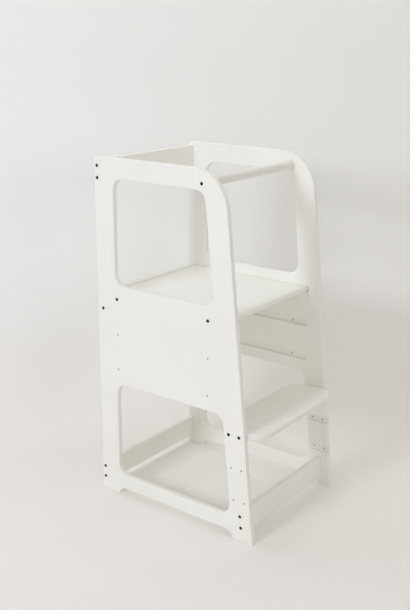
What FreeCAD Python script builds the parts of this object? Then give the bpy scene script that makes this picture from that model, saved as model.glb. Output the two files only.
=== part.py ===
"""Toddler kitchen helper stool: two cut-out side panels joined by rails, a handrail, a platform and a step.

Frame: X runs across the stool, +Z is up, and the child climbs in from the -Y side. The origin lies on the
floor in the middle of the overall length and width. Heights are measured from the floor. Depths are measured
from the rear edge of the side panels towards the step, so a depth lies at Y = REAR_Y - depth.
"""

import FreeCAD, Part
import math
import os

import Sketcher

# Driving dimensions, in millimetres
SIZES = [
    ("overall_height", 900, "height of the side panels"),
    ("inner_width", 360, "distance between the side panels"),
    ("board", 15, "thickness of every board"),
    ("base_depth", 489, "depth of a side panel at the floor"),
    ("top_depth", 394, "depth of a side panel at the top, before its corner is rounded"),
    ("top_front_radius", 100, "large rounded corner at the top front"),
    ("top_rear_radius", 4, "small rounded corner at the top rear"),
    ("edge_round", 3, "rounding of the boards' long edges"),
    ("stile_width", 60, "wood left in front of and behind the windows"),
    ("window_radius", 30, "rounded corners of the windows"),
    ("top_band", 50, "wood left above the upper window"),
    ("upper_window_height", 270, "clear height of the upper window"),
    ("lower_window_sill", 60, "height of the lower window's sill"),
    ("lower_window_height", 258, "clear height of the lower window"),
    ("foot_width", 60, "length of each foot along the floor"),
    ("arch_height", 20, "rise of the arch between the feet"),
    ("housing_depth", 6, "how far platform, step and handrail are let into the panels"),
    ("housing_overrun", 3.5, "length of housing left open past each end of the platform"),
    ("housing_corner", 3, "corner radius that the cutter leaves in a stopped housing"),
    ("fit_clearance", 0.3, "gap round a board or bar in its housing"),
    ("platform_top", 553, "standing height, platform in its upper place"),
    ("platform_spacing", 94, "height from one platform place to the next"),
    ("platform_setback", 25.5, "depth at which the platform starts"),
    ("platform_depth", 370, "front to back size of the platform"),
    ("nose_flat", 1, "flat left in the middle of the platform's rounded nose"),
    ("platform_screw_inset", 40, "rear screw behind the platform's rear edge"),
    ("platform_screw_spacing", 286, "distance between the platform's screws"),
    ("step_top", 281.5, "height of the step in its upper place"),
    ("step_spacing", 84, "height from one step place to the next"),
    ("step_depth", 133, "front to back size of the step"),
    ("step_radius", 60, "rounded corners of the step in plan"),
    ("step_screw_spacing", 30, "distance between the step's screws"),
    ("rail_width", 60, "height of the boards that tie the panels together"),
    ("rail_screw_spacing", 30, "distance between a rail's two screws"),
    ("rear_inset", 2.3, "rear rails' back face in front of the panels' rear edge"),
    ("top_rail_drop", 8, "top rail's upper edge below the panels' top"),
    ("middle_rail_rise", 6, "middle rail's upper edge above the platform"),
    ("middle_rail_gap", 0.3, "gap between the middle rail and the platform"),
    ("bottom_rail_lift", 22, "bottom rails' lower edge above the floor"),
    ("handrail_diameter", 22, "diameter of the round handrail"),
    ("handrail_drop", 34.5, "handrail's centre below the panels' top"),
    ("handrail_setback", 62, "handrail's centre behind the panels' top depth"),
    ("screw_length", 50, "length of a screw"),
    ("screw_shank", 5.6, "outside diameter of a screw's thread"),
    ("screw_head", 8.5, "diameter of a screw's countersunk head"),
    ("screw_point", 2, "length of a screw's tapered end"),
    ("screw_socket", 3.5, "hexagon socket, across its flats"),
    ("screw_socket_depth", 1.2, "depth of the hexagon socket"),
    ("hole_clearance", 0.2, "gap round a screw in a side panel"),
    ("spare_hole", 4.5, "diameter of the holes at the places that aren't in use"),
    ("pilot_clearance", 0.05, "gap round a screw in the board that it holds"),
    ("pilot_extra", 2, "depth of a pilot hole past the screw's end"),
]
PLACES = 3  # heights at which the platform, and the step, can be fitted
LEAST_FLAT = 1  # left straight between two of the step's rounded corners, however large their radius is set

# Places worked out from the driving dimensions, as formulas of the sheet's cells
SLANT = "atan((Sizes.base_depth - Sizes.top_depth) / Sizes.overall_height)"
HALF_BOARD = "Sizes.board / 2"
OUTER_FACE = "(Sizes.inner_width / 2 + Sizes.board)"
HOUSED_HALF_LENGTH = "(Sizes.inner_width / 2 + Sizes.housing_depth - Sizes.fit_clearance)"
UPPER_WINDOW_HEAD = "(Sizes.overall_height - Sizes.top_band)"
UPPER_WINDOW_SILL = f"({UPPER_WINDOW_HEAD} - Sizes.upper_window_height)"
LOWER_WINDOW_HEAD = "(Sizes.lower_window_sill + Sizes.lower_window_height)"
STEP_CORNER = f"min(Sizes.step_radius; (Sizes.step_depth - {LEAST_FLAT}) / 2)"
HANDRAIL_DEPTH = "(Sizes.top_depth - Sizes.handrail_setback)"
HANDRAIL_HEIGHT = "(Sizes.overall_height - Sizes.handrail_drop)"
REAR_RAIL_DEPTH = f"(Sizes.rear_inset + {HALF_BOARD})"
MIDDLE_RAIL_DEPTH = f"(Sizes.platform_setback - Sizes.middle_rail_gap - {HALF_BOARD})"
TOP_RAIL_HEIGHT = "(Sizes.overall_height - Sizes.top_rail_drop - Sizes.rail_width / 2)"
MIDDLE_RAIL_HEIGHT = "(Sizes.platform_top + Sizes.middle_rail_rise - Sizes.rail_width / 2)"
BOTTOM_RAIL_HEIGHT = "(Sizes.bottom_rail_lift + Sizes.rail_width / 2)"
HOUSING_HALF_HEIGHT = f"({HALF_BOARD} + Sizes.fit_clearance)"
ORIGIN = "0"


def front_edge(height):
    """Depth of the panels' slanted front edge at a height."""
    return f"(Sizes.base_depth - (Sizes.base_depth - Sizes.top_depth) * ({height}) / Sizes.overall_height)"


def stile_middle(height):
    """Depth of the middle of the front stile at a height."""
    return f"({front_edge(height)} - Sizes.stile_width / 2)"


def platform_height(place):
    """Height of the platform's middle plane in a place, counted down from 0."""
    return f"(Sizes.platform_top - {HALF_BOARD} - {place} * Sizes.platform_spacing)"


def step_height(place):
    """Height of the step's middle plane in a place, counted down from 0."""
    return f"(Sizes.step_top - {HALF_BOARD} - {place} * Sizes.step_spacing)"


def platform_screws(place):
    """Depths and heights of the two screws in one of the platform's places, rear one first."""
    rear = "(Sizes.platform_setback + Sizes.platform_screw_inset)"
    front = f"({rear} + Sizes.platform_screw_spacing)"
    return [(rear, platform_height(place)), (front, platform_height(place))]


def step_screws(place):
    """Depths and heights of the two screws in one of the step's places, rear one first."""
    middle = stile_middle(step_height(place))
    half = "Sizes.step_screw_spacing / 2"
    return [(f"({middle} {sign} {half})", step_height(place)) for sign in ("-", "+")]


def rail_screws(depth, height, lean=ORIGIN):
    """Depths and heights of a rail's two screws, lower one first; lean is the rail's angle."""
    half = "Sizes.rail_screw_spacing / 2"
    lower = (f"({depth} + {half} * sin({lean}))", f"({height} - {half} * cos({lean}))")
    upper = (f"({depth} - {half} * sin({lean}))", f"({height} + {half} * cos({lean}))")
    return [lower, upper]


FRONT_RAIL_DEPTH = stile_middle(BOTTOM_RAIL_HEIGHT)
STEP_HEIGHT = step_height(0)
REAR_Y = f"(({stile_middle(STEP_HEIGHT)} + Sizes.step_depth / 2) / 2)"

# Each joint's screws, where they pass through the side panels
SCREWS = {
    "rear_top_rail": rail_screws(REAR_RAIL_DEPTH, TOP_RAIL_HEIGHT),
    "rear_middle_rail": rail_screws(MIDDLE_RAIL_DEPTH, MIDDLE_RAIL_HEIGHT)[:1],
    "rear_bottom_rail": rail_screws(REAR_RAIL_DEPTH, BOTTOM_RAIL_HEIGHT),
    "front_bottom_rail": rail_screws(FRONT_RAIL_DEPTH, BOTTOM_RAIL_HEIGHT, SLANT),
    "handrail": [(HANDRAIL_DEPTH, HANDRAIL_HEIGHT)],
    "platform": platform_screws(0),
    "step": step_screws(0),
}
LEANS = {"front_bottom_rail": SLANT}  # joints whose pieces lean back with the front edge
HEXAGON_TURNS = range(30, 390, 60)  # degrees to the corners of a screw's socket
COUNTERSINK_ANGLE = 90  # degrees across a screw's head, whose height is its radius less the shank's
TOLERANCE = 0.001  # for finding an edge by its place


def make_sheet(doc):
    """The spreadsheet that holds every driving dimension."""
    sheet = doc.addObject("Spreadsheet::Sheet", "Sizes")
    for row, (alias, value, meaning) in enumerate(SIZES, start=1):
        sheet.set(f"A{row}", meaning)
        sheet.set(f"B{row}", str(value))
        sheet.setAlias(f"B{row}", alias)
    doc.recompute()
    return sheet


doc = FreeCAD.newDocument("helper_stool")
sizes = make_sheet(doc)


def number(formula):
    """The present value of a formula of the sheet's cells."""
    value = sizes.evalExpression(formula)
    return float(getattr(value, "Value", value))


def new_body(label):
    """An empty body."""
    body = doc.addObject("PartDesign::Body", label)
    body.Label = label
    return body


def origin_feature(body, role):
    """One of a body's own origin planes or axes."""
    return next(feature for feature in body.Origin.OriginFeatures if feature.Role == role)


def new_sketch(body, name, role, offset=ORIGIN):
    """An empty sketch on one of the body's origin planes, moved out along its normal by a formula."""
    sketch = body.newObject("Sketcher::SketchObject", name)
    sketch.AttachmentSupport = [(origin_feature(body, role), "")]
    sketch.MapMode = "FlatFace"
    if offset != ORIGIN:
        sketch.setExpression("AttachmentOffset.Base.z", offset)
    return sketch


def pin(sketch, geometry, end, across, up):
    """Ties one point of a sketch to the sketch's origin by two formulas."""
    for formula, constraint, axis in ((across, "DistanceX", -2), (up, "DistanceY", -1)):
        if formula == ORIGIN:
            sketch.addConstraint(Sketcher.Constraint("PointOnObject", geometry, end, axis))
        else:
            index = sketch.addConstraint(
                Sketcher.Constraint(constraint, -1, 1, geometry, end, number(formula))
            )
            sketch.setExpression(f"Constraints[{index}]", formula)


def add_polygon(sketch, corners):
    """A closed outline of straight lines through corners given as pairs of formulas."""
    points = [FreeCAD.Vector(number(across), number(up), 0) for across, up in corners]
    lines = [
        sketch.addGeometry(Part.LineSegment(start, end))
        for start, end in zip(points, points[1:] + points[:1])
    ]
    for line, following in zip(lines, lines[1:] + lines[:1]):
        sketch.addConstraint(Sketcher.Constraint("Coincident", line, 2, following, 1))
    for line, (across, up) in zip(lines, corners):
        pin(sketch, line, 1, across, up)


def add_circles(sketch, centres, radius):
    """Circles of one radius round centres given as pairs of formulas."""
    for across, up in centres:
        centre = FreeCAD.Vector(number(across), number(up), 0)
        circle = sketch.addGeometry(Part.Circle(centre, FreeCAD.Vector(0, 0, 1), number(radius)))
        pin(sketch, circle, 3, across, up)
        index = sketch.addConstraint(Sketcher.Constraint("Radius", circle, number(radius)))
        sketch.setExpression(f"Constraints[{index}]", radius)


def pad(body, name, sketch, length, midplane=False):
    """Boards are padded from their outline."""
    feature = body.newObject("PartDesign::Pad", name)
    feature.Profile = sketch
    feature.Midplane = midplane
    feature.setExpression("Length", length)
    doc.recompute()
    return feature


def pocket(body, name, sketch, depth=None, reverse=False):
    """A cut along the sketch's normal, right through where no depth is given."""
    feature = body.newObject("PartDesign::Pocket", name)
    feature.Profile = sketch
    feature.Reversed = reverse
    if depth is None:
        feature.Type = "ThroughAll"
    else:
        feature.setExpression("Length", depth)
    doc.recompute()
    return feature


def fillet(body, name, base, wanted, radius):
    """Rounds every edge of the base feature for which wanted(edge) is true."""
    edges = [
        f"Edge{index}" for index, edge in enumerate(base.Shape.Edges, start=1) if wanted(edge)
    ]
    if not edges:
        raise RuntimeError(f"{name} found no edge to round")
    feature = body.newObject("PartDesign::Fillet", name)
    feature.Base = (base, edges)
    feature.setExpression("Radius", radius)
    doc.recompute()
    return feature


def spans(edge, axis):
    """Whether an edge is a straight line along an axis: 0 is X, 1 is Y and 2 is Z."""
    box = edge.BoundBox
    lengths = (box.XLength, box.YLength, box.ZLength)
    return all((length > TOLERANCE) == (index == axis) for index, length in enumerate(lengths))


def at_corners(corners):
    """A test for edges along X that pass through one of the corners, given as pairs of formulas."""
    places = [(number(across), number(up)) for across, up in corners]

    def wanted(edge):
        centre = edge.BoundBox.Center
        return spans(edge, 0) and any(
            math.hypot(centre.y - across, centre.z - up) < TOLERANCE for across, up in places
        )

    return wanted


def runs_round_a_face(edge):
    """Whether an edge borders one of the panel's two faces, apart from the feet's square lower edges."""
    return edge.BoundBox.XLength < TOLERANCE and edge.BoundBox.ZMax > TOLERANCE


def panel_plane(screws):
    """Turns pairs of depth and height into a panel sketch's own coordinates."""
    return [(f"(-{depth})", height) for depth, height in screws]


def cut_window(panel, name, sill, head):
    """A window between the stiles, its front side parallel to the panel's front edge."""
    rear = "(-Sizes.stile_width)"
    corners = [
        (rear, sill),
        (f"(Sizes.stile_width - {front_edge(sill)})", sill),
        (f"(Sizes.stile_width - {front_edge(head)})", head),
        (rear, head),
    ]
    outline = new_sketch(panel, f"{name}_outline", "YZ_Plane")
    add_polygon(outline, corners)
    opening = pocket(panel, name, outline, reverse=True)
    return fillet(panel, f"{name}_corners", opening, at_corners(corners), "Sizes.window_radius")


def cut_arch(panel):
    """The arch between the feet: a level top that runs down to the floor in quarter circles."""
    outline = new_sketch(panel, "arch_outline", "YZ_Plane")
    front_foot = "(Sizes.foot_width - Sizes.base_depth)"
    rear_foot = "(-Sizes.foot_width)"
    front_centre = f"({front_foot} + Sizes.arch_height)"
    rear_centre = f"({rear_foot} - Sizes.arch_height)"
    rise = number("Sizes.arch_height")
    normal = FreeCAD.Vector(0, 0, 1)

    def at(across, up):
        return FreeCAD.Vector(number(across), up, 0)

    def quarter(centre, start):
        circle = Part.Circle(at(centre, 0), normal, rise)
        return outline.addGeometry(Part.ArcOfCircle(circle, start, start + math.pi / 2))

    floor = outline.addGeometry(Part.LineSegment(at(front_foot, 0), at(rear_foot, 0)))
    rear = quarter(rear_centre, 0)
    top = outline.addGeometry(Part.LineSegment(at(rear_centre, rise), at(front_centre, rise)))
    front = quarter(front_centre, math.pi / 2)
    sides = [floor, rear, top, front]
    for side, following in zip(sides, sides[1:] + sides[:1]):
        outline.addConstraint(Sketcher.Constraint("Coincident", side, 2, following, 1))
    pin(outline, floor, 1, front_foot, ORIGIN)
    pin(outline, floor, 2, rear_foot, ORIGIN)
    pin(outline, rear, 3, rear_centre, ORIGIN)
    pin(outline, front, 3, front_centre, ORIGIN)
    outline.addConstraint(Sketcher.Constraint("Vertical", rear, 2, rear, 3))
    outline.addConstraint(Sketcher.Constraint("Vertical", front, 1, front, 3))
    return pocket(panel, "arch", outline, reverse=True)


def cut_platform_housings(panel):
    """Stopped housings for the platform, one for each of its places."""
    rear = "(Sizes.housing_overrun - Sizes.platform_setback)"
    front = "(-Sizes.platform_setback - Sizes.platform_depth - Sizes.housing_overrun)"
    corners = [
        (across, f"({platform_height(0)} {sign} {HOUSING_HALF_HEIGHT})")
        for sign, across in (("-", rear), ("-", front), ("+", front), ("+", rear))
    ]
    outline = new_sketch(panel, "platform_housing_outline", "YZ_Plane", "Sizes.board")
    add_polygon(outline, corners)
    housing = pocket(panel, "platform_housing", outline, "Sizes.housing_depth")
    places = panel.newObject("PartDesign::LinearPattern", "platform_places")
    places.Originals = [housing]
    places.Direction = (outline, ["V_Axis"])
    places.Reversed = True
    places.Occurrences = PLACES
    places.setExpression("Length", f"{PLACES - 1} * Sizes.platform_spacing")
    panel.Tip = places
    doc.recompute()
    every_corner = [
        (across, f"({up} - {place} * Sizes.platform_spacing)")
        for place in range(PLACES)
        for across, up in corners
    ]
    return fillet(
        panel, "platform_housing_corners", places, at_corners(every_corner), "Sizes.housing_corner"
    )


def cut_step_housings(panel):
    """Housings for the step, cut right across the front stile so that they are open at both ends."""
    outline = new_sketch(panel, "step_housing_outlines", "YZ_Plane", "Sizes.board")
    for place in range(PLACES):
        middle = step_height(place)
        front = f"(-Sizes.edge_round - {front_edge(middle)})"
        rear = f"(Sizes.stile_width + Sizes.edge_round - {front_edge(middle)})"
        low = f"({middle} - {HOUSING_HALF_HEIGHT})"
        high = f"({middle} + {HOUSING_HALF_HEIGHT})"
        add_polygon(outline, [(front, low), (rear, low), (rear, high), (front, high)])
    return pocket(panel, "step_housings", outline, "Sizes.housing_depth")


def cut_handrail_socket(panel):
    """The blind round socket that takes the handrail's end."""
    outline = new_sketch(panel, "handrail_socket_outline", "YZ_Plane", "Sizes.board")
    centre = panel_plane(SCREWS["handrail"])
    add_circles(outline, centre, "(Sizes.handrail_diameter / 2 + Sizes.fit_clearance)")
    return pocket(panel, "handrail_socket", outline, "Sizes.housing_depth")


def drill_panel(panel):
    """Countersunk holes for the screws, and plain holes at the places that aren't in use."""
    spare = [
        screw
        for place in range(1, PLACES)
        for screw in platform_screws(place) + step_screws(place)
    ]
    spare_centres = new_sketch(panel, "spare_hole_centres", "YZ_Plane")
    add_circles(spare_centres, panel_plane(spare), "(Sizes.spare_hole / 2)")
    pocket(panel, "spare_holes", spare_centres, reverse=True)

    used = [screw for screws in SCREWS.values() for screw in screws]
    centres = new_sketch(panel, "screw_hole_centres", "YZ_Plane")
    add_circles(centres, panel_plane(used), "(Sizes.screw_shank / 2 + Sizes.hole_clearance)")
    doc.recompute()
    holes = panel.newObject("PartDesign::Hole", "screw_holes")
    holes.Profile = centres
    doc.recompute()
    holes.Reversed = True
    holes.DepthType = "ThroughAll"
    holes.HoleCutType = "Countersink"
    holes.HoleCutCustomValues = True
    holes.HoleCutCountersinkAngle = COUNTERSINK_ANGLE
    holes.setExpression("Diameter", "Sizes.screw_shank + 2 * Sizes.hole_clearance")
    holes.setExpression("HoleCutDiameter", "Sizes.screw_head + 2 * Sizes.hole_clearance")
    doc.recompute()


def make_side_panel(label):
    """The left side: its outer face lies in the sketch plane and its inner face towards +X."""
    panel = new_body(label)
    outline = new_sketch(panel, "panel_outline", "YZ_Plane")
    top_front = ("(-Sizes.top_depth)", "Sizes.overall_height")
    top_rear = (ORIGIN, "Sizes.overall_height")
    add_polygon(outline, [(ORIGIN, ORIGIN), ("(-Sizes.base_depth)", ORIGIN), top_front, top_rear])
    blank = pad(panel, "blank", outline, "Sizes.board")
    front_corner = fillet(
        panel, "top_front_corner", blank, at_corners([top_front]), "Sizes.top_front_radius"
    )
    fillet(panel, "top_rear_corner", front_corner, at_corners([top_rear]), "Sizes.top_rear_radius")
    cut_window(panel, "upper_window", UPPER_WINDOW_SILL, UPPER_WINDOW_HEAD)
    cut_window(panel, "lower_window", "Sizes.lower_window_sill", LOWER_WINDOW_HEAD)
    arch = cut_arch(panel)
    fillet(panel, "rounded_edges", arch, runs_round_a_face, "Sizes.edge_round")
    cut_platform_housings(panel)
    cut_step_housings(panel)
    cut_handrail_socket(panel)
    drill_panel(panel)
    panel.setExpression("Placement.Base.x", f"-{OUTER_FACE}")
    panel.setExpression("Placement.Base.y", REAR_Y)
    return panel


def drill_pilots(body, centres, half_length):
    """Pilot holes for the screws in both ends of a piece that is centred on X = 0."""
    outline = new_sketch(body, f"{body.Label}_pilot_centres", "YZ_Plane", half_length)
    add_circles(outline, centres, "(Sizes.screw_shank / 2 + Sizes.pilot_clearance)")
    depth = f"Sizes.screw_length + Sizes.pilot_extra - ({OUTER_FACE} - {half_length})"
    holes = pocket(body, f"{body.Label}_pilots", outline, depth)
    both_ends = body.newObject("PartDesign::Mirrored", f"{body.Label}_both_ends")
    both_ends.Originals = [holes]
    both_ends.MirrorPlane = (origin_feature(body, "YZ_Plane"), [""])
    body.Tip = both_ends
    doc.recompute()


def put(body, depth, height, lean=ORIGIN):
    """Puts a piece's own origin at a depth and height; lean tips its top towards the rear."""
    body.Placement.Rotation = FreeCAD.Rotation(FreeCAD.Vector(1, 0, 0), -number(lean))
    if lean != ORIGIN:
        body.setExpression("Placement.Rotation.Angle", f"-{lean}")
    body.setExpression("Placement.Base.y", f"{REAR_Y} - {depth}")
    body.setExpression("Placement.Base.z", height)


def make_rail(label, depth, height):
    """A board that stands on edge between the panels and is screwed through them into its end grain."""
    rail = new_body(label)
    half_width = "Sizes.rail_width / 2"
    section = new_sketch(rail, f"{label}_section", "YZ_Plane")
    corners = [
        (f"({across}{HALF_BOARD})", f"({up}{half_width})")
        for across, up in (("-", "-"), ("", "-"), ("", ""), ("-", ""))
    ]
    add_polygon(section, corners)
    board = pad(rail, f"{label}_board", section, "Sizes.inner_width", midplane=True)
    fillet(rail, f"{label}_edges", board, at_corners(corners), "Sizes.edge_round")
    half_spacing = "Sizes.rail_screw_spacing / 2"
    heights = [f"(-{half_spacing})", f"({half_spacing})"][: len(SCREWS[label])]
    drill_pilots(rail, [(ORIGIN, up) for up in heights], "Sizes.inner_width / 2")
    put(rail, depth, height, LEANS.get(label, ORIGIN))
    return rail


def make_handrail(label):
    """The round bar across the front, let into a socket at each end."""
    bar = new_body(label)
    section = new_sketch(bar, f"{label}_section", "YZ_Plane")
    add_circles(section, [(ORIGIN, ORIGIN)], "(Sizes.handrail_diameter / 2)")
    pad(bar, f"{label}_bar", section, f"2 * {HOUSED_HALF_LENGTH}", midplane=True)
    drill_pilots(bar, [(ORIGIN, ORIGIN)], HOUSED_HALF_LENGTH)
    put(bar, HANDRAIL_DEPTH, HANDRAIL_HEIGHT)
    return bar


def lying_corners(front, rear):
    """Plan corners of a board that reaches into the housings on both sides."""
    left = f"(-{HOUSED_HALF_LENGTH})"
    return [(left, front), (HOUSED_HALF_LENGTH, front), (HOUSED_HALF_LENGTH, rear), (left, rear)]


def make_platform(label):
    """The board the child stands on, with a round nose at the front; its own origin is at its rear edge."""
    board = new_body(label)
    plan = new_sketch(board, f"{label}_plan", "XY_Plane")
    add_polygon(plan, lying_corners("(-Sizes.platform_depth)", ORIGIN))
    blank = pad(board, f"{label}_blank", plan, "Sizes.board", midplane=True)
    front = -number("Sizes.platform_depth")
    nose = fillet(
        board,
        f"{label}_nose",
        blank,
        lambda edge: spans(edge, 0) and abs(edge.BoundBox.YMin - front) < TOLERANCE,
        "(Sizes.board - Sizes.nose_flat) / 2",
    )
    fillet(
        board,
        f"{label}_rear_edges",
        nose,
        lambda edge: spans(edge, 0) and abs(edge.BoundBox.YMax) < TOLERANCE,
        "Sizes.edge_round",
    )
    rear_screw = "(-Sizes.platform_screw_inset)"
    front_screw = f"({rear_screw} - Sizes.platform_screw_spacing)"
    drill_pilots(board, [(rear_screw, ORIGIN), (front_screw, ORIGIN)], HOUSED_HALF_LENGTH)
    put(board, "Sizes.platform_setback", platform_height(0))
    return board


def make_step(label):
    """The step: a board with large round corners, centred on the front stiles."""
    board = new_body(label)
    plan = new_sketch(board, f"{label}_plan", "XY_Plane")
    add_polygon(plan, lying_corners("(-Sizes.step_depth / 2)", "(Sizes.step_depth / 2)"))
    blank = pad(board, f"{label}_blank", plan, "Sizes.board", midplane=True)
    corners = fillet(board, f"{label}_corners", blank, lambda edge: spans(edge, 2), STEP_CORNER)
    fillet(
        board,
        f"{label}_edges",
        corners,
        lambda edge: edge.BoundBox.ZLength < TOLERANCE,
        "Sizes.edge_round",
    )
    half_spacing = "Sizes.step_screw_spacing / 2"
    centres = [(f"({half_spacing})", ORIGIN), (f"(-{half_spacing})", ORIGIN)]
    drill_pilots(board, centres, HOUSED_HALF_LENGTH)
    put(board, stile_middle(STEP_HEIGHT), STEP_HEIGHT)
    return board


def make_screws(joint, label, spacing=None, axis="Z_Axis"):
    """One joint's screws on the left side; the first one's head lies in the body's own YZ plane."""
    screws = new_body(label)
    head_radius = "(Sizes.screw_head / 2)"
    shank_radius = "(Sizes.screw_shank / 2)"
    profile = new_sketch(screws, f"{label}_profile", "XY_Plane")
    add_polygon(
        profile,
        [
            (ORIGIN, ORIGIN),
            ("Sizes.screw_length", ORIGIN),
            ("Sizes.screw_length", f"({shank_radius} / 2)"),
            ("(Sizes.screw_length - Sizes.screw_point)", shank_radius),
            (f"({head_radius} - {shank_radius})", shank_radius),
            (ORIGIN, head_radius),
        ],
    )
    turned = screws.newObject("PartDesign::Revolution", f"{label}_turned")
    turned.Profile = profile
    turned.ReferenceAxis = (profile, ["H_Axis"])
    doc.recompute()
    hexagon = new_sketch(screws, f"{label}_hexagon", "YZ_Plane")
    corner = "Sizes.screw_socket / 2 / cos(30)"
    add_polygon(
        hexagon,
        [(f"({corner} * cos({turn}))", f"({corner} * sin({turn}))") for turn in HEXAGON_TURNS],
    )
    socket = pocket(screws, f"{label}_socket", hexagon, "Sizes.screw_socket_depth", reverse=True)
    if spacing:
        row = screws.newObject("PartDesign::LinearPattern", f"{label}_row")
        row.Originals = [turned, socket]
        row.Direction = (origin_feature(screws, axis), [""])
        row.Reversed = axis == "Y_Axis"
        row.Occurrences = len(SCREWS[joint])
        row.setExpression("Length", spacing)
        screws.Tip = row
    depth, height = SCREWS[joint][0]
    put(screws, depth, height, LEANS.get(joint, ORIGIN))
    screws.setExpression("Placement.Base.x", f"-{OUTER_FACE}")
    doc.recompute()
    return screws


def mirror(source, label):
    """The right-hand twin of a left-hand piece."""
    twin = doc.addObject("Part::Mirroring", label)
    twin.Label = label
    twin.Source = source
    twin.Normal = FreeCAD.Vector(1, 0, 0)
    return twin


def check(pieces):
    """Stops unless every feature worked, every cut removed something and every piece is sound."""
    for feature in doc.Objects:
        if {"Invalid", "Error"} & set(feature.State):
            raise RuntimeError(f"{feature.Name}: {feature.getStatusString()}")
        if feature.TypeId in ("PartDesign::Pocket", "PartDesign::Hole"):
            if feature.Shape.Volume >= feature.BaseFeature.Shape.Volume:
                raise RuntimeError(f"{feature.Name} cuts nothing")
    for piece in pieces:
        if piece.Shape.isNull() or not piece.Shape.isValid() or not piece.Shape.Solids:
            raise RuntimeError(f"{piece.Label} isn't a sound solid")


left_panel = make_side_panel("left_side_panel")
pieces = [
    left_panel,
    mirror(left_panel, "right_side_panel"),
    make_rail("rear_top_rail", REAR_RAIL_DEPTH, TOP_RAIL_HEIGHT),
    make_rail("rear_middle_rail", MIDDLE_RAIL_DEPTH, MIDDLE_RAIL_HEIGHT),
    make_rail("rear_bottom_rail", REAR_RAIL_DEPTH, BOTTOM_RAIL_HEIGHT),
    make_rail("front_bottom_rail", FRONT_RAIL_DEPTH, BOTTOM_RAIL_HEIGHT),
    make_handrail("handrail"),
    make_platform("platform"),
    make_step("step"),
]
RAIL_PAIR = {"spacing": "Sizes.rail_screw_spacing"}
SCREW_ROWS = {
    "rear_top_rail": RAIL_PAIR,
    "rear_middle_rail": {},
    "rear_bottom_rail": RAIL_PAIR,
    "front_bottom_rail": RAIL_PAIR,
    "handrail": {},
    "platform": {"spacing": "Sizes.platform_screw_spacing", "axis": "Y_Axis"},
    "step": {"spacing": "Sizes.step_screw_spacing", "axis": "Y_Axis"},
}
for joint, row in SCREW_ROWS.items():
    noun = "screws" if row else "screw"
    left_screws = make_screws(joint, f"{joint}_{noun}_left", **row)
    pieces += [left_screws, mirror(left_screws, f"{joint}_{noun}_right")]
doc.recompute()
check(pieces)

os.makedirs("parts", exist_ok=True)
for piece in pieces:
    piece.Shape.exportStep(f"parts/{piece.Label}.step")
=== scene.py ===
"""The looks of a toddler's kitchen helper stool: white painted plywood, black screws, soft light.

Everything is in metres in the stool's own frame: X across the stool, +Z up, and the step on the -Y side.
"""

import math

import bpy
from mathutils import Matrix, Vector

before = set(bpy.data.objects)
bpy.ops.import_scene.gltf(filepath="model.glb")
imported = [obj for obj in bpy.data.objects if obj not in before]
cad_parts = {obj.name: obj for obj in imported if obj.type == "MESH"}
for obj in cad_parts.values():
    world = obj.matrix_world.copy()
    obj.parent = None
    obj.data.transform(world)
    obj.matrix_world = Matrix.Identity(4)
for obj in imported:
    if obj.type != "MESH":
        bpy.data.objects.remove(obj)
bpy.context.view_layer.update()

# The photograph's camera, fitted to the stool's outlines: its place, its direction and its lens
IMAGE_HEIGHT = 610
CAMERA_PLACE = Vector((-1.8121, -1.3171, 1.2024))
CAMERA_TURN = math.radians(37.08)  # from +X towards +Y
CAMERA_PITCH = math.radians(16.987)  # below the horizon
CAMERA_ROLL = math.radians(0.28)
FOCAL_PIXELS = 911.4
SENSOR = 36.0  # millimetres along the image's long side


def make_camera():
    """A camera where the photograph's camera stood."""
    camera = bpy.data.objects.new("camera", bpy.data.cameras.new("camera"))
    bpy.context.scene.collection.objects.link(camera)
    forward = Vector((
        math.cos(CAMERA_TURN) * math.cos(CAMERA_PITCH),
        math.sin(CAMERA_TURN) * math.cos(CAMERA_PITCH),
        -math.sin(CAMERA_PITCH),
    ))
    level_right = forward.cross(Vector((0, 0, 1))).normalized()
    level_up = level_right.cross(forward)
    right = math.cos(CAMERA_ROLL) * level_right + math.sin(CAMERA_ROLL) * level_up
    up = math.cos(CAMERA_ROLL) * level_up - math.sin(CAMERA_ROLL) * level_right
    axes = Matrix((right, up, -forward)).transposed()
    camera.matrix_world = Matrix.Translation(CAMERA_PLACE) @ axes.to_4x4()
    camera.data.sensor_width = SENSOR
    camera.data.lens = FOCAL_PIXELS * SENSOR / IMAGE_HEIGHT
    bpy.context.scene.camera = camera


AXES = {"X": Vector((1, 0, 0)), "Y": Vector((0, 1, 0)), "Z": Vector((0, 0, 1))}


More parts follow.
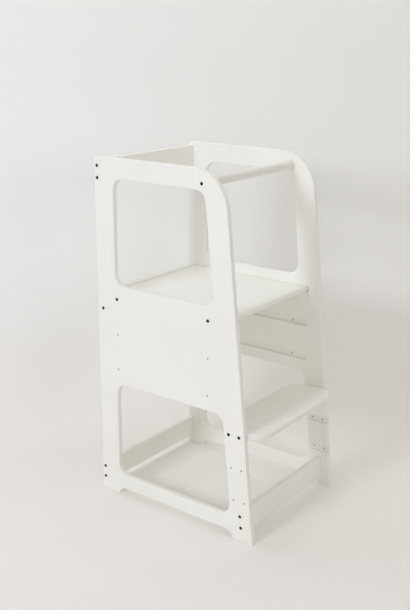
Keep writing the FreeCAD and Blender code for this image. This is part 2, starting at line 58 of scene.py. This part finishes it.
class Finish:
    """A node material under construction."""

    def __init__(self, name):
        self.material = bpy.data.materials.new(name)
        self.material.use_nodes = True
        self.nodes = self.material.node_tree.nodes
        self.links = self.material.node_tree.links
        self.shader = self.nodes["Principled BSDF"]
        coordinates = self.nodes.new("ShaderNodeTexCoord")
        self.place = coordinates.outputs["Object"]
        self.normal = coordinates.outputs["Normal"]

    def node(self, kind, inputs, output, **settings):
        """A new node's output; each input is a plain value or another node's output."""
        node = self.nodes.new(kind)
        for setting, value in settings.items():
            setattr(node, setting, value)
        for socket, value in inputs.items():
            self.plug(node.inputs[socket], value)
        return node.outputs[output]

    def plug(self, socket, value):
        """Gives a socket a plain value or another node's output."""
        if isinstance(value, bpy.types.NodeSocket):
            self.links.new(value, socket)
        else:
            socket.default_value = value

    def stretched(self, scale, offset=(0, 0, 0), turn=(0, 0, 0)):
        """The surface's place, moved, turned and stretched."""
        inputs = {"Vector": self.place, "Location": offset, "Rotation": turn, "Scale": scale}
        return self.node("ShaderNodeMapping", inputs, "Vector")

    def noise(self, scale, detail, place=None, roughness=0.5):
        """Noise of so many features per metre."""
        inputs = {
            "Vector": place or self.place, "Scale": scale, "Detail": detail, "Roughness": roughness,
        }
        return self.node("ShaderNodeTexNoise", inputs, "Fac")

    def math(self, operation, *values):
        """A sum, product or the like of values."""
        return self.node("ShaderNodeMath", dict(enumerate(values)), 0, operation=operation)

    def spread(self, value, low, high, to_low=0.0, to_high=1.0):
        """A value stretched from one range to another, and held within it."""
        inputs = {
            "Value": value, "From Min": low, "From Max": high, "To Min": to_low, "To Max": to_high,
        }
        return self.node("ShaderNodeMapRange", inputs, "Result")

    def blend(self, factor, colour, other):
        """One colour that turns into another as the factor goes from 0 to 1."""
        inputs = {"Factor": factor, "A": rgba(colour), "B": rgba(other)}
        return self.node("ShaderNodeMix", inputs, "Result", data_type="RGBA")

    def height(self):
        """The surface's height above the floor."""
        return self.node("ShaderNodeSeparateXYZ", {"Vector": self.place}, "Z")

    def away(self):
        """The surface's distance from the origin."""
        return self.node("ShaderNodeVectorMath", {0: self.place}, "Value", operation="LENGTH")

    def part_of_normal(self, axis):
        """How squarely the surface faces along an axis, from 0 to 1."""
        inputs = {0: self.normal, 1: AXES[axis]}
        along = self.node("ShaderNodeVectorMath", inputs, "Value", operation="DOT_PRODUCT")
        return self.math("ABSOLUTE", along)

    def crowding(self, reach, inside=False):
        """How much of its own piece a spot has within reach, in front of its surface or inside it."""
        settings = {"samples": CROWDING_RAYS, "only_local": True, "inside": inside}
        room = self.node("ShaderNodeAmbientOcclusion", {"Distance": reach}, "AO", **settings)
        return self.math("SUBTRACT", 1.0, room)

    def show(self, surface):
        """Makes a shader the surface."""
        self.links.new(surface, self.nodes["Material Output"].inputs["Surface"])

    def bump(self, height, relief):
        """Raises the surface by height times relief, in metres."""
        inputs = {"Height": height, "Distance": relief}
        self.links.new(self.node("ShaderNodeBump", inputs, "Normal"), self.shader.inputs["Normal"])


def rgba(colour):
    """A colour as a socket takes it."""
    return colour if isinstance(colour, bpy.types.NodeSocket) else (*colour, 1)


PAINT = (0.912, 0.906, 0.876)
PAINT_SHADE = (0.874, 0.865, 0.829)
PAINT_ON_EDGES = (0.872, 0.862, 0.822)  # end grain drinks the paint, so the plies show faintly
# tone of the scuffs on treads and feet, and of the handrail's painted shade
SCUFF_AND_SHADE_TONE = (0.82, 0.805, 0.765)
PAINT_ROUGHNESS = 0.42
WEAR_ROUGHENS = 0.2
LESS_GLOSS, MORE_GLOSS = PAINT_ROUGHNESS + 0.06, PAINT_ROUGHNESS - 0.05
GRAIN_ALONG, GRAIN_ACROSS = 6.0, 330.0  # grain features per metre, along a board and across it
GRAIN_DETAIL, GRAIN_ROUGHNESS = 4.0, 0.6
GRAIN_SHIFT = (1.0, 1.7, 2.3)  # how far a board's seed moves its grain along each axis
CLOUDS = (4.5, 3.0)  # slow changes of tone; each such pair is a noise's features per metre and detail
ROLLER = (620.0, 2.0)  # the paint roller's stipple
MOTTLE_FROM, MOTTLE_TO = 0.6, 1.1  # of grain and clouds together, from the darkest tone to the lightest
NOISE_FROM, NOISE_TO = 0.3, 0.7  # where most of a noise's values lie
PLY = 0.0027  # thickness of two plies, one light and one dark
PLY_WAVINESS, PLY_DETAIL = 0.6, 1.0
TINT_BY_PLY, TINT_BY_EDGE = 0.5, 0.5  # shares of the cut edges' own tone
WAVES_PER_UNIT = 20 / (2 * math.pi)  # a wave texture's waves per unit length at a scale of 1
FACE_FROM, FACE_TO = 0.6, 0.92  # how squarely a surface faces before it counts as a board's face
RELIEF = 0.0001  # metres of bump for a height of 1
GRAIN_HEIGHT, STIPPLE_HEIGHT, PLY_HEIGHT, WEAR_HEIGHT = 0.7, 0.5, 0.35, -0.5
GRAIN_IN_TONE = 0.7  # as against the clouds' 1
SEED_STEP = 0.37  # keeps one board's grain unlike the next one's


def paint_material(name, seed, grain_axis, face_axis, scuffs_and_shade=None, painted_shade=None):
    """Satin white paint: a roller's stipple, the grain faintly through it and plies on the edges."""
    finish = Finish(name)
    stretch = [GRAIN_ACROSS] * 3
    stretch["XYZ".index(grain_axis)] = GRAIN_ALONG
    place = finish.stretched(stretch, [seed * shift for shift in GRAIN_SHIFT])
    grain = finish.noise(1.0, GRAIN_DETAIL, place, GRAIN_ROUGHNESS)
    clouds = finish.noise(*CLOUDS, finish.stretched((1, 1, 1), (seed, seed, seed)))
    stipple = finish.noise(*ROLLER)
    mottle = finish.math("MULTIPLY_ADD", grain, GRAIN_IN_TONE, clouds)
    tone = finish.blend(finish.spread(mottle, MOTTLE_FROM, MOTTLE_TO), PAINT_SHADE, PAINT)
    height = finish.math("MULTIPLY", stipple, STIPPLE_HEIGHT)
    height = finish.math("MULTIPLY_ADD", grain, GRAIN_HEIGHT, height)
    roughness = finish.spread(clouds, NOISE_FROM, NOISE_TO, MORE_GLOSS, LESS_GLOSS)
    if face_axis:
        edge = finish.spread(finish.part_of_normal(face_axis), FACE_FROM, FACE_TO, 1.0, 0.0)
        wave = {
            "Vector": finish.place, "Scale": 1 / (PLY * WAVES_PER_UNIT),
            "Distortion": PLY_WAVINESS, "Detail": PLY_DETAIL,
        }
        plies = finish.node("ShaderNodeTexWave", wave, "Fac", bands_direction=face_axis)
        plies = finish.math("MULTIPLY", plies, edge)
        tint = finish.math("MULTIPLY", edge, TINT_BY_EDGE)
        tint = finish.math("MULTIPLY_ADD", plies, TINT_BY_PLY, tint)
        tone = finish.blend(tint, tone, PAINT_ON_EDGES)
        height = finish.math("MULTIPLY_ADD", plies, PLY_HEIGHT, height)
    # scuffs on the treads and feet; on the handrail, painted shade
    if scuffs_and_shade:
        scuff_and_shade_amount = scuffs_and_shade(finish)
        tone = finish.blend(scuff_and_shade_amount, tone, SCUFF_AND_SHADE_TONE)
        roughness = finish.math("MULTIPLY_ADD", scuff_and_shade_amount, WEAR_ROUGHENS, roughness)
        height = finish.math("MULTIPLY_ADD", scuff_and_shade_amount, WEAR_HEIGHT, height)
    # painted shade in a dark brown, in the drilled holes and along the housings' sharp edges
    if painted_shade:
        tone = finish.blend(painted_shade(finish), tone, PAINTED_SHADE_BROWN)
    finish.plug(finish.shader.inputs["Base Color"], tone)
    finish.plug(finish.shader.inputs["Roughness"], roughness)
    finish.bump(height, RELIEF)
    return finish.material


LIGHT_WEAR = 0.3  # of the way from fresh paint to scuffed paint
SCRATCH_TURNS = (0.5, -0.9, 1.7)  # radians in plan, one for each set of fine scratches
SCRATCHES_ALONG, SCRATCHES_ACROSS = 26, 900  # features per metre
SCRATCH_FROM, SCRATCH_TO = 0.66, 0.74  # noise from which a scratch begins and at which it is full
SCRATCH_PATCHES = (9.0, 2.0)
PATCH_FROM, PATCH_TO = 0.45, 0.62


def tread_wear(finish):
    """Fine scratches in patches, where feet turn on a board."""
    scratches = None
    for turn in SCRATCH_TURNS:
        scale = (SCRATCHES_ALONG, SCRATCHES_ACROSS, SCRATCHES_ACROSS)
        place = finish.stretched(scale, (turn, turn, 0), (0, 0, turn))
        lines = finish.spread(finish.noise(1.0, 1.0, place), SCRATCH_FROM, SCRATCH_TO)
        scratches = lines if scratches is None else finish.math("MAXIMUM", scratches, lines)
    patches = finish.spread(finish.noise(*SCRATCH_PATCHES), PATCH_FROM, PATCH_TO, 0.0, LIGHT_WEAR)
    return finish.math("MULTIPLY", scratches, patches)


HANDRAIL_SHADE_SPOTS = (14.0, 3.0)
HANDRAIL_SHADE_FROM, HANDRAIL_SHADE_TO = 0.35, 0.65
LEAST_HANDRAIL_SHADE = 0.75


def handrail_painted_shade(finish):
    """Painted shade: how much darker the whole handrail is, unevenly all along; the same amount roughens
    it.
    """
    return finish.spread(finish.noise(*HANDRAIL_SHADE_SPOTS), HANDRAIL_SHADE_FROM, HANDRAIL_SHADE_TO, LEAST_HANDRAIL_SHADE, 1.0)


FOOT_WEAR = 0.014  # height up to which the feet are rubbed
RUB_SPOTS = (140.0, 3.0)
RUB_FROM, RUB_TO = 0.4, 0.65


def foot_wear(finish):
    """Paint rubbed off in spots, most of all at the very foot."""
    low = finish.spread(finish.height(), 0.0, FOOT_WEAR, LIGHT_WEAR, 0.0)
    spots = finish.spread(finish.noise(*RUB_SPOTS), RUB_FROM, RUB_TO)
    return finish.math("MULTIPLY", low, spots)


# dark brown of the painted shade in holes and along the housings' edges
PAINTED_SHADE_BROWN = (0.30, 0.235, 0.165)
MOST_SHADE_IN_HOLES, MOST_SHADE_ON_EDGES = 0.9, 0.42  # how much of the brown painted shade shows
HOLE_REACH = 0.006  # metres within which a drilled hole's walls face each other
EDGE_REACH = 0.0014  # metres from a sharp edge within which the painted shade lies
HOLE_FROM, HOLE_TO = 0.62, 0.95  # crowding between which a hole's wall turns from paint to painted shade
EDGE_FROM, EDGE_TO = 0.15, 0.42  # the same beside an edge
CROWDING_RAYS = 16  # rays that feel how crowded a spot is


def hole_and_edge_painted_shade(finish):
    """Painted shade in a dark brown: inside the drilled holes and along the sharp edges of the housings.
    """
    hole_shade = finish.crowding(HOLE_REACH)
    edge_shade = finish.crowding(EDGE_REACH, inside=True)
    hole_shade = finish.spread(hole_shade, HOLE_FROM, HOLE_TO, 0.0, MOST_SHADE_IN_HOLES)
    edge_shade = finish.spread(edge_shade, EDGE_FROM, EDGE_TO, 0.0, MOST_SHADE_ON_EDGES)
    return finish.math("MAXIMUM", hole_shade, edge_shade)


BLACK_OXIDE = (0.006, 0.006, 0.007)
WORN_OXIDE = (0.024, 0.023, 0.023)
OXIDE_SPOTS = (900.0, 3.0)
OXIDE_METALLIC = 0.6
OXIDE_SMOOTHEST, OXIDE_ROUGHEST = 0.38, 0.6
OXIDE_RELIEF = RELIEF / 4


def screw_material():
    """Black oxide steel with a little wear."""
    finish = Finish("black_oxide")
    spots = finish.noise(*OXIDE_SPOTS)
    roughness = finish.spread(spots, NOISE_FROM, NOISE_TO, OXIDE_SMOOTHEST, OXIDE_ROUGHEST)
    finish.plug(finish.shader.inputs["Base Color"], finish.blend(spots, BLACK_OXIDE, WORN_OXIDE))
    finish.plug(finish.shader.inputs["Metallic"], OXIDE_METALLIC)
    finish.plug(finish.shader.inputs["Roughness"], roughness)
    finish.bump(spots, OXIDE_RELIEF)
    return finish.material


# Each board: the axis its grain runs along, the axis its broad faces look along, its wear (on the
# handrail, painted shade) and its painted shade in holes and on edges
BOARDS = {
    "left_side_panel": ("Z", "X", foot_wear, hole_and_edge_painted_shade),
    "right_side_panel": ("Z", "X", foot_wear, hole_and_edge_painted_shade),
    "rear_top_rail": ("X", "Y"),
    "rear_middle_rail": ("X", "Y"),
    "rear_bottom_rail": ("X", "Y"),
    "front_bottom_rail": ("X", "Y"),
    "handrail": ("X", None, handrail_painted_shade),
    "platform": ("X", "Z", tread_wear),
    "step": ("X", "Z", tread_wear),
}


def finish_nodes():
    """Gives every CAD node a finish: each board its own paint, and all the screws one black oxide."""
    black = screw_material()
    for number, (name, piece) in enumerate(sorted(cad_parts.items())):
        finish = black
        if name in BOARDS:
            finish = paint_material(f"white_paint_{name}", number * SEED_STEP, *BOARDS[name])
        piece.data.materials.clear()
        piece.data.materials.append(finish)


FLOOR = (0.855, 0.83, 0.805)
PAINTED_LIGHT_UNDER_STOOL = (0.93, 0.912, 0.892)  # painted light: the floor lighter under the stool, in place of light that these lamps don't bring there
UNDER_FROM, UNDER_TO = 0.2, 0.42  # metres from the origin between which one turns into the other
WALL = (0.93, 0.924, 0.925)
DISTANCE = (0.76, 0.75, 0.735)  # the pale haze that the backdrop fades to
FADE_FROM, FADE_TO = 1.65, 2.6  # metres from the origin between which it fades
FLOOR_REACH = 40.0  # how far the floor runs on to every side
WALL_TURN = math.radians(51.6)  # from +X towards +Y, to the direction in which the wall lies
WALL_DISTANCE = 0.58  # metres behind the origin
WALL_REACH = 9.0  # how far the wall runs on, up and to both sides
SWEEP_RADIUS = 0.24  # of the curve between floor and wall
SWEEP_FOOT = WALL_DISTANCE - SWEEP_RADIUS
SWEEP_STEPS = 24
TO_WALL = Vector((math.cos(WALL_TURN), math.sin(WALL_TURN), 0))
PAPER_ROUGHNESS, PAPER_SPECULAR = 0.9, 0.2
PAPER_FIBRES = (55.0, 4.0)
PAPER_CLOUDS = (1.3, 2.0)
PAPER_WANDER = 0.05  # metres by which the clouds lift the change from floor to wall colour
PAPER_CHANGE = SWEEP_RADIUS * 1.5  # height at which the wall's colour is reached
SEEN_RAYS = ("Is Camera Ray", "Is Glossy Ray", "Is Transmission Ray")


def paper(name):
    """Matt backdrop paper, warmer and darker on the floor than on the wall; painted light on the floor
    under the stool.
    """
    finish = Finish(name)
    # the floor's colour, with painted light near the origin under the stool
    floor = finish.blend(finish.spread(finish.away(), UNDER_FROM, UNDER_TO), PAINTED_LIGHT_UNDER_STOOL, FLOOR)
    clouds = finish.noise(*PAPER_CLOUDS)
    rise = finish.math("MULTIPLY_ADD", clouds, PAPER_WANDER, finish.height())
    colour = finish.blend(finish.spread(rise, 0.0, PAPER_CHANGE), floor, WALL)
    finish.plug(finish.shader.inputs["Base Color"], colour)
    finish.plug(finish.shader.inputs["Roughness"], PAPER_ROUGHNESS)
    finish.plug(finish.shader.inputs["Specular IOR Level"], PAPER_SPECULAR)
    finish.bump(finish.noise(*PAPER_FIBRES), RELIEF)
    return finish


def seen_directly(tree):
    """1 for what is seen, also in gloss or through glass, and 0 for what only gives light."""
    path = tree.nodes.new("ShaderNodeLightPath").outputs
    seen = path[SEEN_RAYS[0]]
    for ray in SEEN_RAYS[1:]:
        either = tree.nodes.new("ShaderNodeMath")
        either.operation = "MAXIMUM"
        tree.links.new(seen, either.inputs[0])
        tree.links.new(path[ray], either.inputs[1])
        seen = either.outputs[0]
    return seen


def fade(finish, hidden=0.0):
    """Turns paper into haze far from the stool, as it is seen but not in the light that it gives."""
    far = finish.math("MAXIMUM", finish.spread(finish.away(), FADE_FROM, FADE_TO), hidden)
    amount = finish.math("MULTIPLY", far, seen_directly(finish.material.node_tree))
    haze = finish.node("ShaderNodeEmission", {"Color": rgba(DISTANCE)}, "Emission")
    mixed = {0: amount, 1: finish.shader.outputs["BSDF"], 2: haze}
    return finish.node("ShaderNodeMixShader", mixed, "Shader")


def floor_material():
    """Paper that is lost in the haze behind the wall as well."""
    finish = paper("floor_paper")
    inputs = {0: finish.place, 1: TO_WALL}
    back = finish.node("ShaderNodeVectorMath", inputs, "Value", operation="DOT_PRODUCT")
    finish.show(fade(finish, finish.spread(back, SWEEP_FOOT, WALL_DISTANCE)))
    return finish.material


def wall_material():
    """Paper that can be looked through from behind."""
    finish = paper("wall_paper")
    clear = finish.node("ShaderNodeBsdfTransparent", {}, "BSDF")
    behind = finish.node("ShaderNodeNewGeometry", {}, "Backfacing")
    finish.show(finish.node("ShaderNodeMixShader", {0: behind, 1: fade(finish), 2: clear}, "Shader"))
    return finish.material


def stage_piece(name, corners, faces, material):
    """A part of the backdrop."""
    mesh = bpy.data.meshes.new(name)
    mesh.from_pydata([tuple(corner) for corner in corners], [], faces)
    mesh.shade_smooth()
    mesh.materials.append(material)
    piece = bpy.data.objects.new(name, mesh)
    bpy.context.scene.collection.objects.link(piece)


def make_backdrop():
    """A floor, and a wall behind the stool that curves up from it."""
    square = [Vector((x, y, 0)) * FLOOR_REACH for x, y in ((-1, -1), (1, -1), (1, 1), (-1, 1))]
    stage_piece("floor", square, [(0, 1, 2, 3)], floor_material())
    profile = []
    for step in range(SWEEP_STEPS + 1):
        angle = math.pi / 2 * step / SWEEP_STEPS
        back = SWEEP_FOOT + SWEEP_RADIUS * math.sin(angle)
        profile.append((back, SWEEP_RADIUS * (1 - math.cos(angle))))
    profile.append((WALL_DISTANCE, WALL_REACH))
    side = Vector((-TO_WALL.y, TO_WALL.x, 0))
    corners = [
        TO_WALL * back + side * across + Vector((0, 0, height))
        for back, height in profile
        for across in (WALL_REACH, -WALL_REACH)
    ]
    faces = [(2 * row, 2 * row + 1, 2 * row + 3, 2 * row + 2) for row in range(len(profile) - 1)]
    stage_piece("wall", corners, faces, wall_material())


AIM = Vector((0, 0, 0.5))  # near the stool's middle, where every soft box points
WHITE = (1.0, 1.0, 1.0)
COOL = (0.96, 0.99, 1.08)
# Each soft box: azimuth from +X towards +Y and elevation in degrees, distance and width in metres,
# strength and colour
LIGHTS = {
    "left_key": (176, 21, 3.9, 0.75, 0.475, COOL),
    "left_front_fill": (-150, 18, 3.4, 2.0, 0.10, WHITE),
    "front_fill": (-112, 20, 3.6, 1.0, 0.105, WHITE),
    "right_front_fill": (-72, 22, 3.0, 1.6, 0.145, WHITE),
    "rear_top": (90, 76, 2.52, 0.8, 0.22, WHITE),
    "overhead": (-90, 84, 2.72, 2.2, 0.245, WHITE),
}
FULL_WATTS = 6.0  # of a lamp of strength 1, for each square metre of its distance squared
SURROUND = (0.358, 0.348, 0.312)  # light from all round
DIFFUSE_BOUNCES = 12  # white boards pass the light on to each other many times


def make_lights():
    """Soft boxes round the stool and an even surround."""
    for name, (azimuth, elevation, distance, width, strength, colour) in LIGHTS.items():
        data = bpy.data.lights.new(name, "AREA")
        data.shape = "SQUARE"
        data.size = width
        data.energy = FULL_WATTS * distance**2 * strength
        data.color = colour
        turn, rise = math.radians(azimuth), math.radians(elevation)
        away = Vector((math.cos(turn) * math.cos(rise), math.sin(turn) * math.cos(rise), math.sin(rise)))
        light = bpy.data.objects.new(name, data)
        light.location = AIM + away * distance
        light.rotation_mode = "QUATERNION"
        light.rotation_quaternion = (-away).to_track_quat("-Z", "Y")
        bpy.context.scene.collection.objects.link(light)


def make_surround():
    """Even light from all round, which the camera sees as the pale distance."""
    world = bpy.data.worlds.new("surround")
    world.use_nodes = True
    tree = world.node_tree
    colour = tree.nodes.new("ShaderNodeMix")
    colour.data_type = "RGBA"
    tree.links.new(seen_directly(tree), colour.inputs["Factor"])
    colour.inputs["A"].default_value = rgba(SURROUND)
    colour.inputs["B"].default_value = rgba(DISTANCE)
    tree.links.new(colour.outputs["Result"], tree.nodes["Background"].inputs["Color"])
    bpy.context.scene.world = world


finish_nodes()
make_backdrop()
make_lights()
make_surround()
make_camera()
bpy.context.scene.view_settings.view_transform = "Standard"
bpy.context.scene.cycles.diffuse_bounces = DIFFUSE_BOUNCES
